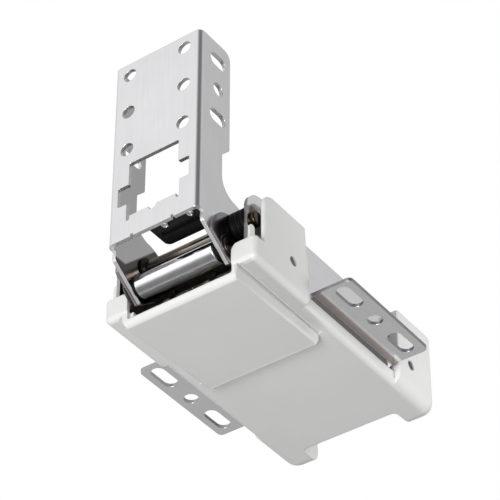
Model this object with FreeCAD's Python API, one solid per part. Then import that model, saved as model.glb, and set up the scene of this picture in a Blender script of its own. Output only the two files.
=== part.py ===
"""Lift-assist hinge: a spring-loaded bracket that swings a lid up, on a screwed-in body.

X runs from the hinge to the far end of the body, Z runs up along the raised bracket, and
the hinge axis lies along Y. Places are measured from the middle of the hinge axis, and the
finished pieces are then moved so that the origin is the middle of the four wing slots, on
the wings' upper faces. The bracket stands open; it folds through 90 degrees, away from the
body, until its web is level with the underside of the cover. All sizes are in millimetres.
"""
import FreeCAD, Part
import math
import os
from FreeCAD import Vector

# Lid bracket, a folded channel: measured from the hinge axis
sheet = 2.4                  # steel sheet of the bracket
web_offset = 33.0            # hinge axis to the outer face of the web
bracket_top = 129.5
web_foot = -4.5              # lower edge of the web
channel_width = 63.0         # across the outer faces of the flanges
channel_bend = 3.6           # outer radius of the folds
flange_depth = 28.8
flange_corner = 6.0
neck_round = 2.5             # corners of the step between flange and neck
web_foot_round = 2.0         # where the arm's front edge meets its slope
neck_depth = 22.0            # flange depth between the wide part and the arms
neck_height = 54.5           # where the wide part of the flange ends
neck_flare = 13.0            # radius from the neck out to the hinge boss
boss_radius = 19.0           # arm round the hinge axis
crank_x, crank_z = -7.0, -18.5
crank_end = 9.0              # arm round the crank pin
crank_cut = 5.3              # sloping front edge of the arm, from the crank axis
crank_slope = -34.5          # its direction, in degrees
arm_front = 5.4              # front edge of the arm behind the web's outer face

# Holes of the bracket
fixing_hole = 9.0
web_row_pitch = 29.0
web_column_pitch = 40.0
web_first_row = 120.0
web_rows = 3
flange_slot_length = 15.2
flange_hole_depth = 17.5     # hole row behind the web's outer face
flange_first_hole = 115.5
flange_hole_pitch = 21.8

# Window in the web
window_top = 50.0
window_width = 35.0
window_ear_top = 34.5
window_ear_foot = 20.5
window_ear_width = 50.0
window_foot = 11.0
window_notch = 2.2           # width of the narrow notches in the lower corners
window_notch_depth = 3.0
window_centre_notch = 2.8    # radius of the round notch in the lower edge
window_round = 1.0
window_step = 1.0            # the lower half is this much wider on each side
edge_mark = 1.6              # small notches in the web's lower edge
edge_mark_spacing = 28.0

# Doubler plates on the outside of the arms
doubler = 2.0
doubler_radius = 18.0
doubler_x, doubler_z = -4.2, -13.2
doubler_boss = 7.8

# Hinge shaft and its bushes
shaft_diameter = 8.0
shaft_head = 9.4
shaft_head_height = 3.0
shaft_head_edge = 0.6
running = 0.05               # radial clearance of turning fits
seated = 0.02                # radial clearance of parts that don't turn
side_play = 0.2              # clearance between faces that slide past each other
spacer_diameter = 16.8
spacer_groove = 1.2
spacer_groove_depth = 0.7
bush_diameter = 11.0
bush_flange = 13.4
bush_flange_height = 1.6

# Crank pin, roller and retaining rings
pin_diameter = 8.0
roller_diameter = 14.0
roller_length = 54.0
roller_edge = 0.5
ring_groove = 0.8            # groove width
ring_root = 6.4              # shaft diameter in the groove
ring_outer = 11.0
ring_thickness = 0.7
ring_opening = 4.5
washer_outer = 15.0
washer_thickness = 0.6
pin_tail = 0.4               # pin beyond the ring groove

# Moulded block inside the web's foot, with its rivets
foot_block_left, foot_block_right = 5.0, -27.8
foot_block_depth = 19.0
foot_block_foot, foot_block_top = -2.0, 7.0
foot_block_round = 3.5
block_groove = 3.0           # width of the groove in its lower face
block_groove_depth = 1.2
rivet_collar = 0.8           # height of the rivet's plain head
rivet_diameter = 3.2
rivet_head = 5.4
rivet_dome = 1.8
rivet_spacing = 17.3
rivet_inset = 3.4            # rivet axis behind the block's front face
rivet_first = -4.8

# Body frame: a channel with two wings folded out
frame_sheet = 2.3
frame_width = 90.8           # across the outer faces of the side walls
frame_front = -6.2
frame_end = 154.0
ear_top = 20.0
ear_round = 13.0
crown_top = 18.3
crown_front = 34.5
crown_bend = 4.0
wall_foot = -28.0            # under the wings and in front of them
wall_heel = -20.0            # behind the wings
wing_face = -22.0            # lower face of the wings
wing_start = 51.4
wing_length = 80.0
wing_fold = 5.3              # hollow radius between a wing and its side wall
wing_corner = 3.0
wing_hole_reach = 19.6       # hole row outside the side wall
wing_hole_edge = 9.1         # wing's edge outside the hole row
wing_hole_pitch = 26.0
wing_slot_length = 20.6
wing_hole_shift = 1.2        # middle hole in front of the wing's middle
relief = 1.6                 # slots beside the ears

# Spring pack
spring_offset = 14.2         # spring axes either side of the middle
spring_height = -13.0
spring_outer = 26.0
spring_wire = 4.4
spring_turns = 8.5
carriage_front = 3.0         # at rest; leaves room for the roller's arc at mid travel
carriage_sheet = 4.0
carriage_width = 54.0
carriage_top = -5.0
carriage_foot = -21.0
rod_diameter = 10.0
spigot_diameter = 8.0        # staked end of the rod in the carriage
rod_tail = 6.0               # rod beyond the end plate's far face
end_plate_x = 118.0
end_plate = 4.0
end_tab = 16.0               # height of the tabs in the side walls
end_plate_round = 3.0
collar_flange = 16.0
collar_flange_height = 2.0
collar_wall = 1.5

# Moulded cover
wall = 2.5
cover_gap = 4.1              # between the frame's side walls and the cheeks
end_gap = 2.0                # between the frame's end and the cover
cover_floor = -33.5          # outer face
cover_front = -8.0
block_top = -17.5            # front corner blocks
cheek_front = 1.0
cheek_top = 18.8
cheek_round = 9.0
cheek_gap = 6.4              # between a cheek's foot and the wing
cheek_lean = 4.0             # how far the cheek's rear edge leans forward
rim_wall = 2.2
rim_gap = 0.9                # between the frame's side walls and the rim
rim_top = -25.0
tab_gap = 3.1                # between a wing and the rear tab
tab_top = 20.5
tab_reach = 18.0             # tabs beyond the notch
tab_round = 9.0              # outer rear corner, seen from below
tab_top_round = 7.0
tab_root = 12.4              # notch's front corners inside the frame's side walls
notch_flare = 1.0            # how far the notch widens towards the rear
notch_round = 3.0
corner_round = 3.0
floor_round = 3.5
rear_floor_round = 8.0
pocket_rise = 4.0            # floor of the hollow tabs above the inner floor
edge_round = 1.5
mouth_gap = 0.5              # beside the ends of the crank pin
mouth_round = 6.0            # inner upper corners of the front blocks
lip_height = -37.0
lip_round = 1.0              # lower corners of the mouth
pad_front = -7.4
pad_end = 72.0
pad_face_front, pad_face_end = -41.5, -37.6
pad_step = -35.5             # top of the low step round the pad
pad_width = 79.4
pad_face_width = 75.6
pad_rear_width = 72.6
pad_round = 4.0
pad_groove = 1.2             # depth of the hollow beside the pad's step
pad_groove_width = 4.0
pad_groove_round = 0.5
front_screw = 27.3           # behind the cheek's front edge
rear_screw = 13.4            # behind the tab's front edge
screw_z = -13.8
screw_recess = 6.2
screw_recess_depth = 3.0
screw_head = 5.6
screw_head_height = 2.0
screw_diameter = 3.0
screw_length = 8.5
screw_play = 0.2             # radial, in the cover's bosses
screw_boss = 11.0
boss_inset = 0.5             # end of the boss inside the cheek's face
rib_front, rib_rear = -6.0, -1.8   # tongue beside the foot of each ear
rib_top = -7.0
rib_thickness = 1.8
rib_round = 1.9

# Values that several pieces share
tolerance = 0.01             # when edges are picked by their place
half_channel = channel_width / 2
inner_flange = half_channel - sheet
web_outer = -web_offset
web_inner = web_outer + sheet
doubler_outer = half_channel + doubler
wall_outer = frame_width / 2
wall_inner = wall_outer - frame_sheet
wing_end = wing_start + wing_length
wing_top = wing_face + frame_sheet
wing_middle = wing_start + wing_length / 2 - wing_hole_shift
wing_hole_row = wall_outer + wing_hole_reach
wing_tip = wing_hole_row + wing_hole_edge
spring_front = carriage_front + carriage_sheet
crank_groove = doubler_outer + washer_thickness + seated
crank_pin_end = crank_groove + ring_groove + pin_tail
cover_half = wall_outer + cover_gap + wall
rim_inner = wall_outer + rim_gap
rim_outer = rim_inner + rim_wall
mouth_half = crank_pin_end + mouth_gap
inner_floor = cover_floor + wall
cheek_rear_foot = wing_start - cheek_gap
cheek_rear_top = cheek_rear_foot - cheek_lean
tab_front = wing_end + tab_gap
notch_x = frame_end + end_gap + wall
notch_half = wall_outer - tab_root
cover_end = notch_x + tab_reach
screw_x = (cheek_front + front_screw, tab_front + rear_screw)
screw_axes = [(x, side) for x in screw_x for side in (-1, 1)]


def side_view(u, v):
    return Vector(u, 0, v)


def plan_view(u, v):
    return Vector(u, v, 0)


def end_view(u, v):
    return Vector(0, u, v)


def outline(points, view):
    """Closed face through (u, v) or (u, v, corner radius) points."""
    corners = [view(p[0], p[1]) for p in points]
    radii = [p[2] if len(p) > 2 else 0 for p in points]
    count = len(points)
    entries, exits, arcs = [], [], []
    for i, corner in enumerate(corners):
        radius = radii[i]
        if not radius:
            entries.append(corner)
            exits.append(corner)
            arcs.append(None)
            continue
        to_last = (corners[i - 1] - corner).normalize()
        to_next = (corners[(i + 1) % count] - corner).normalize()
        half_angle = to_last.getAngle(to_next) / 2
        setback = radius / math.tan(half_angle)
        middle = (to_last + to_next).normalize()
        entries.append(corner + to_last * setback)
        exits.append(corner + to_next * setback)
        reach = radius / math.sin(half_angle) - radius
        arcs.append(Part.Arc(entries[-1], corner + middle * reach, exits[-1]))
    edges = []
    for i in range(count):
        if arcs[i]:
            edges.append(arcs[i].toShape())
        start, end = exits[i], entries[(i + 1) % count]
        if start.distanceToPoint(end) > 1e-6:
            edges.append(Part.makeLine(start, end))
    return Part.Face(Part.Wire(Part.__sortEdges__(edges)))


def slab(points, view, start, end):
    """Outline swept along the third axis from start to end."""
    along = {side_view: Vector(0, 1, 0), plan_view: Vector(0, 0, 1), end_view: Vector(1, 0, 0)}[view]
    face = outline(points, view)
    face.translate(along * start)
    return face.extrude(along * (end - start))


def box(x0, x1, y0, y1, z0, z1):
    return Part.makeBox(x1 - x0, y1 - y0, z1 - z0, Vector(x0, y0, z0))


def rod(diameter, x, z, y0, y1):
    """Cylinder along Y."""
    low, high = min(y0, y1), max(y0, y1)
    return Part.makeCylinder(diameter / 2, high - low, Vector(x, low, z), Vector(0, 1, 0))


def shaft(diameter, x0, x1, y, z):
    """Cylinder along X."""
    return Part.makeCylinder(diameter / 2, x1 - x0, Vector(x0, y, z), Vector(1, 0, 0))


def slot(length, width, x, y, z, direction, depth):
    """Through slot along X, cut along direction from depth before to depth past the point."""
    reach = (length - width) / 2
    start = Vector(x, y, z) - direction * depth
    ends = [Part.makeCylinder(width / 2, 2 * depth, start + Vector(s * reach, 0, 0), direction)
            for s in (-1, 1)]
    flat = Vector(0, 1, 0) if abs(direction.z) > 0.5 else Vector(0, 0, 1)
    corner = [start + Vector(a * reach, 0, 0) + flat * (b * width / 2)
              for a, b in ((-1, -1), (1, -1), (1, 1), (-1, 1))]
    middle = Part.Face(Part.makePolygon(corner + corner[:1])).extrude(direction * (2 * depth))
    return ends[0].fuse([ends[1], middle])


def retaining_ring(x, z, y, outward):
    """Open ring in its groove on a shaft along Y; outward is -1 or 1."""
    far = y + outward * ring_thickness
    ring = rod(ring_outer, x, z, y, far).cut(rod(ring_root + 2 * seated, x, z, y, far))
    low, high = min(y, far), max(y, far)
    return ring.cut(box(x, x + ring_outer, low, high, z - ring_opening / 2, z + ring_opening / 2))


def grooved(body, diameter, x, z, y, outward):
    """Cuts a ring groove that starts at y."""
    far = y + outward * ring_groove
    return body.cut(rod(diameter + 1, x, z, y, far).cut(rod(ring_root, x, z, y, far)))


def tangent_link(x1, z1, r1, x2, z2, r2, y0, y1):
    """Plate round two circles, joined by their outer tangents."""
    span = math.hypot(x2 - x1, z2 - z1)
    heading = math.atan2(z2 - z1, x2 - x1)
    lean = math.acos((r1 - r2) / span)
    corners = []
    for (x, z, r), sign in (((x1, z1, r1), 1), ((x2, z2, r2), 1), ((x2, z2, r2), -1), ((x1, z1, r1), -1)):
        turn = heading + sign * lean
        corners.append((x + r * math.cos(turn), z + r * math.sin(turn)))
    return rod(2 * r1, x1, z1, y0, y1).fuse([rod(2 * r2, x2, z2, y0, y1),
                                            slab(corners, side_view, y0, y1)])


def front_edge_point(distance):
    """Point on the arm's sloping front edge, at a distance along it from the crank axis."""
    slope = math.radians(crank_slope)
    x = crank_x - crank_cut * math.sin(-slope) + distance * math.cos(slope)
    z = crank_z - crank_cut * math.cos(slope) + distance * math.sin(slope)
    return x, z


def arm_outline(y0, y1):
    """Flange, neck and arm as seen from the side."""
    back = web_outer + flange_depth
    neck = web_outer + neck_depth
    front = web_outer + arm_front
    step = flange_depth - neck_depth
    corner_x, corner_z = front_edge_point(0)
    rise = (corner_x - front) * math.tan(math.radians(-crank_slope))
    upper = slab([(web_outer, web_foot), (web_outer, bracket_top), (back, bracket_top, flange_corner),
                  (back, neck_height, neck_round), (neck, neck_height - step, neck_round),
                  (neck, boss_radius, neck_flare), (0.0, boss_radius), (0.0, 0.0),
                  (corner_x, corner_z), (front, corner_z + rise, web_foot_round), (front, web_foot)],
                 side_view, y0, y1)
    arm = tangent_link(0, 0, boss_radius, crank_x, crank_z, crank_end, y0, y1)
    reach = 2 * web_offset
    near, far = front_edge_point(-reach), front_edge_point(reach)
    below = slab([near, far, (far[0], far[1] - reach), (near[0], far[1] - reach)], side_view, y0, y1)
    return upper.fuse(arm).cut(below)


def window():
    half, ear = window_width / 2, window_ear_width / 2
    lower = half + window_step
    notch, foot = lower - window_notch, window_foot - window_notch_depth
    right = [(0, window_top), (half, window_top, window_round), (half, window_ear_top),
             (ear, window_ear_top, window_round), (ear, window_ear_foot, window_round),
             (lower, window_ear_foot, window_round), (lower, foot, window_round),
             (notch, foot, window_round), (notch, window_foot), (0, window_foot)]
    left = [(-p[0],) + tuple(p[1:]) for p in reversed(right[1:-1])]
    opening = slab(right + left, end_view, web_outer - 1, web_inner + 1)
    round_notch = Part.makeCylinder(window_centre_notch, sheet + 2,
                                    Vector(web_outer - 1, 0, window_foot), Vector(1, 0, 0))
    return opening.fuse(round_notch)


def lid_bracket():
    far = boss_radius + 1
    channel = slab([(web_outer, -half_channel, channel_bend), (web_outer, half_channel, channel_bend),
                    (far, half_channel), (far, inner_flange),
                    (web_inner, inner_flange, channel_bend - sheet),
                    (web_inner, -inner_flange, channel_bend - sheet),
                    (far, -inner_flange), (far, -half_channel)],
                   plan_view, crank_z - boss_radius, bracket_top)
    body = channel.common(arm_outline(-half_channel, half_channel))
    cuts = [window()]
    for row in range(web_rows):
        for side in (-1, 1):
            place = Vector(web_outer - 1, side * web_column_pitch / 2, web_first_row - row * web_row_pitch)
            cuts.append(Part.makeCylinder(fixing_hole / 2, sheet + 2, place, Vector(1, 0, 0)))
    across = Vector(0, 1, 0)
    hole_x = web_outer + flange_hole_depth
    for row, length in enumerate((flange_slot_length, 0, flange_slot_length)):
        z = flange_first_hole - row * flange_hole_pitch
        if length:
            cuts.append(slot(length, fixing_hole, hole_x, 0, z, across, half_channel + 1))
        else:
            cuts.append(rod(fixing_hole, hole_x, z, -half_channel - 1, half_channel + 1))
    for side in (-1, 1):
        y = side * edge_mark_spacing / 2
        cuts.append(box(web_outer - 1, web_inner + 1, y - edge_mark / 2, y + edge_mark / 2,
                        web_foot - 1, web_foot + edge_mark))
    cuts.append(rod(bush_diameter + 2 * seated, 0, 0, -half_channel - 1, half_channel + 1))
    cuts.append(rod(pin_diameter + 2 * seated, crank_x, crank_z, -half_channel - 1, half_channel + 1))
    return body.cut(cuts)


def crank_doubler(side):
    """Plate on the outside of one arm, between the two pins."""
    y0, y1 = sorted((side * half_channel, side * doubler_outer))
    disc = rod(2 * doubler_radius, doubler_x, doubler_z, y0, y1)
    disc = disc.fuse(rod(2 * doubler_boss, 0, 0, y0, y1))
    plate = disc.common(arm_outline(y0, y1))
    return plate.cut([rod(shaft_diameter + 4 * running, 0, 0, y0, y1),
                      rod(pin_diameter + 2 * seated, crank_x, crank_z, y0, y1)])


def pivot_shaft():
    """Hinge shaft with a head outside one ear and a ring groove outside the other."""
    groove = wall_outer + side_play
    tail = groove + ring_groove + pin_tail
    body = rod(shaft_diameter, 0, 0, -wall_outer, tail)
    head = rod(shaft_head, 0, 0, -wall_outer - shaft_head_height, -wall_outer)
    rim = [e for e in head.Edges if abs(e.BoundBox.YMax + wall_outer + shaft_head_height) < tolerance]
    head = head.makeChamfer(shaft_head_edge, rim)
    return grooved(body.fuse(head), shaft_diameter, 0, 0, groove, 1)


def pivot_spacer(side):
    """Grooved bush between an ear and the doubler."""
    near, far = doubler_outer + side_play, wall_inner
    y0, y1 = side * near, side * far
    body = rod(spacer_diameter, 0, 0, y0, y1).cut(rod(shaft_diameter + 2 * seated, 0, 0, y0, y1))
    step = (far - near) / 3
    for ring in (1, 2):
        a = side * (near + ring * step - spacer_groove / 2)
        b = side * (near + ring * step + spacer_groove / 2)
        body = body.cut(rod(spacer_diameter + 1, 0, 0, a, b).cut(
            rod(spacer_diameter - 2 * spacer_groove_depth, 0, 0, a, b)))
    return body


def arm_bush(side):
    """Flanged bush pressed into an arm from inside; it turns on the hinge shaft."""
    inner = inner_flange - bush_flange_height
    body = rod(bush_diameter, 0, 0, side * inner_flange, side * half_channel)
    body = body.fuse(rod(bush_flange, 0, 0, side * inner, side * inner_flange))
    return body.cut(rod(shaft_diameter + 2 * running, 0, 0, side * (inner - 1), side * (half_channel + 1)))


def crank_pin():
    body = rod(pin_diameter, crank_x, crank_z, -crank_pin_end, crank_pin_end)
    for side in (-1, 1):
        body = grooved(body, pin_diameter, crank_x, crank_z, side * crank_groove, side)
    return body


def crank_washers():
    """Steel washers under the retaining rings of the crank pin."""
    solids = []
    for side in (-1, 1):
        y0, y1 = side * doubler_outer, side * (doubler_outer + washer_thickness)
        solids.append(rod(washer_outer, crank_x, crank_z, y0, y1).cut(
            rod(pin_diameter + 2 * seated, crank_x, crank_z, y0, y1)))
    return Part.makeCompound(solids)


def crank_rings():
    return Part.makeCompound([retaining_ring(crank_x, crank_z, side * crank_groove, side)
                              for side in (-1, 1)])


def roller():
    half = roller_length / 2
    body = rod(roller_diameter, crank_x, crank_z, -half, half)
    body = body.makeChamfer(roller_edge, [e for e in body.Edges if len(e.Vertexes) == 1])
    return body.cut(rod(pin_diameter + 2 * running, crank_x, crank_z, -half, half))


def roller_washers():
    """Plastic thrust washers that fill the space between the roller and the arms."""
    solids = []
    for side in (-1, 1):
        y0, y1 = side * (roller_length / 2 + side_play), side * inner_flange
        solids.append(rod(roller_diameter - 1, crank_x, crank_z, y0, y1).cut(
            rod(pin_diameter + 2 * seated, crank_x, crank_z, y0, y1)))
    return Part.makeCompound(solids)


def rivet_places():
    return [(web_inner + rivet_inset, rivet_first - i * rivet_spacing) for i in range(2)]


def foot_block():
    """Black moulded block behind the web's foot."""
    back = web_inner + foot_block_depth
    body = slab([(web_inner, foot_block_right), (web_inner, foot_block_left),
                 (back, foot_block_left, foot_block_round), (back, foot_block_right)],
                plan_view, foot_block_foot, foot_block_top)
    middle = web_inner + foot_block_depth / 2
    groove = box(middle - block_groove / 2, middle + block_groove / 2, foot_block_right,
                 foot_block_left - foot_block_round, foot_block_foot, foot_block_foot + block_groove_depth)
    holes = [Part.makeCylinder(rivet_diameter / 2 + seated, foot_block_top - foot_block_foot,
                               Vector(x, y, foot_block_foot)) for x, y in rivet_places()]
    return body.cut([groove] + holes)


def block_rivets():
    """Dome-headed rivets through the foot block."""
    solids = []
    height = foot_block_top - foot_block_foot
    dome_radius = (rivet_head ** 2 / 4 + rivet_dome ** 2) / (2 * rivet_dome)
    for x, y in rivet_places():
        shank = Part.makeCylinder(rivet_diameter / 2, height, Vector(x, y, foot_block_foot))
        ball = Part.makeSphere(dome_radius, Vector(x, y, foot_block_foot + dome_radius - rivet_dome))
        cap = Part.makeCylinder(rivet_head / 2, rivet_dome, Vector(x, y, foot_block_foot - rivet_dome))
        top = Part.makeCylinder(rivet_head / 2, rivet_collar, Vector(x, y, foot_block_top))
        solids.append(shank.fuse([ball.common(cap), top]))
    return Part.makeCompound(solids)


def frame_walls():
    """Crown and side walls with the ears, before the wings are joined on."""
    ceiling, hollow = crown_top - frame_sheet, crown_bend - frame_sheet
    channel = slab([(-wall_outer, wall_foot), (-wall_outer, crown_top, crown_bend),
                    (wall_outer, crown_top, crown_bend), (wall_outer, wall_foot),
                    (wall_inner, wall_foot), (wall_inner, ceiling, hollow),
                    (-wall_inner, ceiling, hollow), (-wall_inner, wall_foot)],
                   end_view, crown_front - relief, frame_end)
    shoulder = crown_top - crown_bend - relief
    channel = channel.cut(box(crown_front - 2 * relief, crown_front, -wall_outer, wall_outer,
                              shoulder, ear_top))
    ears = []
    for side in (-1, 1):
        y0, y1 = sorted((side * wall_inner, side * wall_outer))
        ears.append(slab([(frame_front, wall_foot), (frame_front, ear_top, ear_round),
                          (crown_front - relief, ear_top, crown_bend), (crown_front - relief, wall_foot)],
                         side_view, y0, y1))
    heel = box(frame_front, cover_front + wall + side_play, -wall_outer, wall_outer,
               wall_foot, block_top + side_play)
    rear = box(wing_end, frame_end, -wall_outer, wall_outer, wall_foot, wall_heel)
    return channel.fuse(ears).cut([heel, rear])


def wing(side):
    """One wing, with the hollow fold under it, and the strip of side wall beside it."""
    section = [(side * wall_inner, wing_top), (side * wing_tip, wing_top), (side * wing_tip, wing_face),
               (side * wall_outer, wing_face, wing_fold), (side * wall_outer, wall_foot),
               (side * wall_inner, wall_foot)]
    body = slab(section, end_view, wing_start, wing_end)
    root, edge = side * wall_inner, side * wing_tip
    blank = slab([(wing_start, root), (wing_start, edge, wing_corner), (wing_end, edge, wing_corner),
                  (wing_end, root)], plan_view, wall_foot, wing_top)
    body = body.common(blank)
    cuts = []
    for place, length in ((-1, wing_slot_length), (0, 0), (1, wing_slot_length)):
        x, y = wing_middle + place * wing_hole_pitch, side * wing_hole_row
        if length:
            cuts.append(slot(length, fixing_hole, x, y, wing_face, Vector(0, 0, 1), 2 * frame_sheet))
        else:
            cuts.append(Part.makeCylinder(fixing_hole / 2, 2 * frame_sheet,
                                          Vector(x, y, wing_face - frame_sheet / 2)))
    return body.cut(cuts)


def body_frame():
    walls = frame_walls().fuse([wing(-1), wing(1)]).removeSplitter()
    cuts = [rod(shaft_diameter + 2 * seated, 0, 0, -wall_outer - 1, wall_outer + 1)]
    for x in screw_x:
        cuts.append(rod(screw_diameter + 2 * seated, x, screw_z, -wall_outer - 1, wall_outer + 1))
    tab = end_tab + 2 * side_play
    cuts.append(box(end_plate_x - side_play, end_plate_x + end_plate + side_play,
                    -wall_outer - 1, wall_outer + 1, spring_height - tab / 2, spring_height + tab / 2))
    return walls.cut(cuts)


def spring_axes():
    return [side * spring_offset for side in (-1, 1)]


def end_plate_body():
    """Plate that the springs push against, with tabs in slots of the side walls."""
    top = crown_top - frame_sheet
    reach = wall_inner - side_play
    plate = slab([(-reach, wall_foot, end_plate_round), (-reach, top, end_plate_round),
                  (reach, top, end_plate_round), (reach, wall_foot, end_plate_round)],
                 end_view, end_plate_x, end_plate_x + end_plate)
    tabs = box(end_plate_x, end_plate_x + end_plate, -wall_outer, wall_outer,
               spring_height - end_tab / 2, spring_height + end_tab / 2)
    bore = rod_diameter + 2 * running + 2 * collar_wall + 2 * seated
    holes = [shaft(bore, end_plate_x, end_plate_x + end_plate, y, spring_height) for y in spring_axes()]
    return plate.fuse(tabs).cut(holes)


def rod_collar(y):
    """Flanged plastic guide for a rod in the end plate."""
    outer = rod_diameter + 2 * running + 2 * collar_wall
    body = shaft(outer, end_plate_x, end_plate_x + end_plate, y, spring_height)
    flange = shaft(collar_flange, end_plate_x + end_plate,
                   end_plate_x + end_plate + collar_flange_height, y, spring_height)
    bore = shaft(rod_diameter + 2 * running, end_plate_x,
                 end_plate_x + end_plate + collar_flange_height, y, spring_height)
    return body.fuse(flange).cut(bore)


def carriage():
    """Plate that the roller pushes; it carries the guide rods."""
    half = carriage_width / 2
    plate = box(carriage_front, spring_front, -half, half, carriage_foot, carriage_top)
    return plate.cut([shaft(spigot_diameter, carriage_front, spring_front, y, spring_height)
                      for y in spring_axes()])


def guide_rod(y):
    """Rod staked into the carriage, sliding through the end plate."""
    end = end_plate_x + end_plate + collar_flange_height + rod_tail
    spigot = shaft(spigot_diameter - 2 * seated, carriage_front, spring_front, y, spring_height)
    body = shaft(rod_diameter, spring_front, end, y, spring_height)
    return spigot.fuse(body)


def spring(y):
    """Compression spring between the carriage and the end plate, with closed ends."""
    radius = (spring_outer - spring_wire) / 2
    start = spring_front + spring_wire / 2
    length = end_plate_x - spring_front - spring_wire
    pitch = length / spring_turns
    helix = Part.makeHelix(pitch, length, radius)
    circle = Part.Wire(Part.makeCircle(spring_wire / 2, Vector(radius, 0, 0), Vector(0, 1, 0)))
    coil = Part.Wire(helix).makePipeShell([circle], True, True)
    coil.rotate(Vector(0, 0, 0), Vector(0, 1, 0), 90)
    coil.translate(Vector(start, y, spring_height))
    return coil


def rounded(body, radius, chosen):
    """Rounds the edges whose bounding box passes the test."""
    return body.makeFillet(radius, [e for e in body.Edges if chosen(e.BoundBox)])


def near(a, b):
    return abs(a - b) < tolerance


def hinge_zone():
    """Front of the cover: two low blocks at its corners, and the cheeks beside the hinge."""
    body = slab([(cover_front, cover_floor), (cover_front, block_top), (cheek_front, block_top, edge_round),
                 (cheek_front, cheek_top, cheek_round), (cheek_rear_top, cheek_top, edge_round),
                 (cheek_rear_foot, cover_floor)], side_view, -cover_half, cover_half)
    body = rounded(body, corner_round,
                   lambda b: near(b.XMin, cover_front) and near(b.XMax, cover_front) and near(b.YLength, 0))
    body = rounded(body, floor_round,
                   lambda b: near(b.ZMax, cover_floor) and b.XMax < cheek_rear_foot + tolerance
                   and not near(b.XMin, cheek_rear_foot))
    return rounded(body, edge_round, lambda b: near(b.ZMin, block_top) and near(b.ZMax, block_top)
                   and b.XMax < cover_front + corner_round + tolerance)


def rear_plan():
    """The tabs and the notch between them, seen from below; it runs on in front of the tabs."""
    wide = notch_half + notch_flare
    right = [(tab_front - tab_round, -cover_half, 0), (cover_end, -cover_half, tab_round),
             (cover_end, -wide), (notch_x, -notch_half, notch_round)]
    left = [(p[0], -p[1]) + tuple(p[2:]) for p in reversed(right)]
    return right + left


def rear_zone():
    body = slab(rear_plan(), plan_view, cover_floor, tab_top)
    outside = notch_half + notch_flare + tolerance
    body = rounded(body, rear_floor_round, lambda b: near(b.ZMax, cover_floor) and b.XMax > tab_front
                   and max(b.YMax, -b.YMin) > outside)
    profile = slab([(tab_front, cover_floor), (cover_end, cover_floor), (cover_end, tab_top, tab_top_round),
                    (tab_front, tab_top, corner_round)], side_view, -cover_half, cover_half)
    body = body.common(profile)
    return rounded(body, edge_round, lambda b: near(b.XMax, tab_front) and near(abs(b.YMin), cover_half)
                   and near(b.YLength, 0))


def pad():
    """Raised pad under the hinge: a low step, then sides that lie flatter towards the rear."""
    wires = []
    for x, half, face in ((pad_front, pad_face_width / 2, pad_face_front),
                          (pad_end, pad_rear_width / 2, pad_face_end)):
        corners = [(-pad_width / 2, inner_floor - 1), (-pad_width / 2, pad_step), (-half, face),
                   (half, face), (pad_width / 2, pad_step), (pad_width / 2, inner_floor - 1)]
        points = [Vector(x, y, z) for y, z in corners]
        wires.append(Part.makePolygon(points + points[:1]))
    body = Part.makeLoft(wires, True, True)
    side = slab([(pad_front, inner_floor - 1), (pad_front, pad_face_front, pad_round),
                 (pad_end, pad_face_front), (pad_end, inner_floor - 1)], side_view, -pad_width, pad_width)
    plan = slab([(pad_front, -pad_width / 2), (pad_end, -pad_width / 2, corner_round),
                 (pad_end, pad_width / 2, corner_round), (pad_front, pad_width / 2)],
                plan_view, pad_face_front - 1, inner_floor)
    return body.common(side).common(plan)


def cover_shell():
    """Outer form of the cover less its inside."""
    middle = slab([(-rim_outer, cover_floor, floor_round), (rim_outer, cover_floor, floor_round),
                   (rim_outer, rim_top), (-rim_outer, rim_top)],
                  end_view, cheek_front + front_screw, tab_front + tab_round)
    hollows = []
    for side in (-1, 1):
        step = side * pad_width / 2
        hollows.append(slab([(step, cover_floor - 1), (step, cover_floor + pad_groove, pad_groove_round),
                             (step + side * pad_groove_width, cover_floor),
                             (step + side * pad_groove_width, cover_floor - 1)],
                            end_view, cover_front, pad_end - corner_round))
    outer = hinge_zone().fuse([middle, rear_zone()]).cut(hollows).fuse(pad())
    front, half = cover_front + wall, cover_half - wall
    hinge_room = box(front, cheek_rear_foot - wall, -half, half, inner_floor, cheek_top)
    through = box(front, notch_x - wall, -rim_inner, rim_inner, inner_floor, tab_top)
    plan = outline(rear_plan(), plan_view).makeOffset2D(-wall)
    pocket_floor = inner_floor + pocket_rise
    plan.translate(Vector(0, 0, pocket_floor))
    behind_tab_wall = box(tab_front + wall, cover_end, -cover_half, cover_half, pocket_floor, tab_top)
    rear_room = plan.extrude(Vector(0, 0, tab_top - pocket_floor)).common(behind_tab_wall)
    dip_half = pad_rear_width / 2 - wall
    dip = slab([(pad_front + wall, inner_floor), (pad_front + wall, pad_face_front + wall, edge_round),
                (pad_end - wall, pad_face_end + wall), (pad_end - wall, inner_floor)],
               side_view, -dip_half, dip_half)
    shoulder = mouth_half + 2 * mouth_round
    mouth = slab([(-shoulder, cheek_top), (-shoulder, block_top), (-mouth_half, block_top, mouth_round),
                  (-mouth_half, lip_height, lip_round), (mouth_half, lip_height, lip_round),
                  (mouth_half, block_top, mouth_round), (shoulder, block_top), (shoulder, cheek_top)],
                 end_view, cover_front - 1, front + 1)
    return outer.cut([hinge_room, through, rear_room, dip, mouth])


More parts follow.
